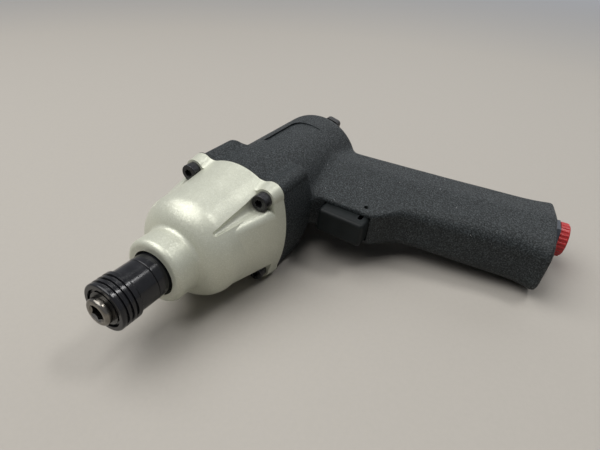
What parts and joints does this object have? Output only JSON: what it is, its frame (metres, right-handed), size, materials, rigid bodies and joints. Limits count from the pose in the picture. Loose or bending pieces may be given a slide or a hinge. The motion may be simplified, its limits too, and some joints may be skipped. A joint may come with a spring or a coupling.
{
  "type": "air impact screwdriver",
  "caption": "Pistol-grip air impact screwdriver lying on its side, with a quick-change hex chuck, twin-hammer mechanism, vane motor, sliding trigger, reversing dial and plugged inlet.",
  "frame": {"origin": "middle of the bit socket's mouth, at the front end of the spindle", "axes": "X runs down the grip, Y runs rearwards along the spindle, Z points to the tool's left, which is up as it lies on its right side"},
  "size_m": [0.1881, 0.1983, 0.06],
  "materials": {
    "coat_black": "cast body under a fine-grained black textured coat",
    "case_silver": "cast body under pearly silver-grey metallic paint",
    "gasket": "thin dark sheet",
    "screw_black": "black oxide",
    "bronze": "sintered bronze, oiled",
    "rubber_black": "matt rubber",
    "steel_spindle": "hardened steel, turned",
    "oxide_black": "semi-gloss black oxide",
    "spring_steel": "oil-tempered wire",
    "steel_ball": "ground and polished",
    "steel_inner": "hardened and oiled",
    "iron": "machined cast iron",
    "vane_resin": "fabric-filled phenolic resin",
    "trigger_black": "smooth moulded black with a faint sheen",
    "brass": "turned brass",
    "dial_black": "moulded black",
    "felt": "pressed felt",
    "bush_dark": "dark blue-grey oxide",
    "plug_red": "moulded red with a ridged rim"
  },
  "bodies": {
    "tool_body": {"motor_housing": "coat_black", "hammer_case": "case_silver", "case_gasket": "gasket", "case_screws": "screw_black", "anvil_bush": "bronze", "nose_seal": "rubber_black", "front_end_plate": "iron", "motor_cylinder": "iron", "rear_end_plate": "iron", "cylinder_dowel": "steel_ball", "front_bearing_outer": "steel_ball", "rear_bearing_outer": "steel_ball", "trigger_pin": "spring_steel", "throttle_bushing": "brass", "throttle_spring": "spring_steel", "reverse_bushing": "brass", "exhaust_cover": "dial_black", "muffler": "felt", "inlet_bushing": "bush_dark", "inlet_o_ring": "rubber_black", "inlet_screen": "brass"},
    "rotor": {"rotor": "steel_inner", "rotor_vanes": "vane_resin", "front_bearing_inner": "steel_ball", "rear_bearing_inner": "steel_ball", "hammer_cage": "steel_inner", "hammer_pins": "steel_ball"},
    "front_hammer": {"front_hammer": "steel_inner"},
    "rear_hammer": {"rear_hammer": "steel_inner"},
    "spindle": {"anvil": "steel_spindle", "chuck_collar": "oxide_black", "chuck_washer": "oxide_black", "chuck_snap_ring": "spring_steel", "chuck_spring": "spring_steel"},
    "sleeve": {"chuck_sleeve": "oxide_black"},
    "ball": {"chuck_ball": "steel_ball"},
    "trigger": {"trigger": "trigger_black", "trigger_stem": "steel_inner", "throttle_valve": "brass", "valve_seal": "rubber_black"},
    "reverse": {"reverse_valve": "steel_inner", "reverse_o_ring": "rubber_black", "reverse_dial": "dial_black", "dial_screw": "screw_black"},
    "plug": {"dust_plug": "plug_red"}
  },
  "joints": [
    {"name": "rotor_spin", "type": "hinge", "parent": "tool_body", "child": "rotor", "pos_m": [0, 0.09945, 0], "axis": [0, 1, 0], "continuous": true},
    {"name": "spindle_spin", "type": "hinge", "parent": "tool_body", "child": "spindle", "pos_m": [0, 0.03695, 0], "axis": [0, 1, 0], "continuous": true},
    {"name": "front_hammer_swing", "type": "hinge", "parent": "rotor", "child": "front_hammer", "pos_m": [0.0153, 0.0643, 0], "axis": [0, 1, 0], "range_deg": [-4, 4]},
    {"name": "rear_hammer_swing", "type": "hinge", "parent": "rotor", "child": "rear_hammer", "pos_m": [-0.0153, 0.0751, 0], "axis": [0, 1, 0], "range_deg": [-4, 4]},
    {"name": "sleeve_slide", "type": "slide", "parent": "spindle", "child": "sleeve", "axis": [0, -1, 0], "range_m": [0, 0.004], "stiffness_N_per_m": 400, "springref_m": -0.005, "deforming": ["chuck_spring"]},
    {"name": "ball_slide", "type": "slide", "parent": "spindle", "child": "ball", "axis": [0, 0, 1], "range_m": [0, 0.0006]},
    {"name": "trigger_slide", "type": "slide", "parent": "tool_body", "child": "trigger", "axis": [0, 1, 0], "range_m": [0, 0.007], "stiffness_N_per_m": 300, "springref_m": -0.008, "deforming": ["throttle_spring"]},
    {"name": "reverse_turn", "type": "hinge", "parent": "tool_body", "child": "reverse", "pos_m": [0, 0.17875, 0], "axis": [0, 1, 0], "range_deg": [0, 90]},
    {"name": "plug_slide", "type": "slide", "parent": "tool_body", "child": "plug", "axis": [0.989, 0.1478, 0], "range_m": [0, 0.06]}
  ],
  "couplings": [
    {"joint": "spindle_spin", "follows": "rotor_spin", "ratio": 1},
    {"joint": "ball_slide", "follows": "sleeve_slide", "ratio": 0.15}
  ]
}
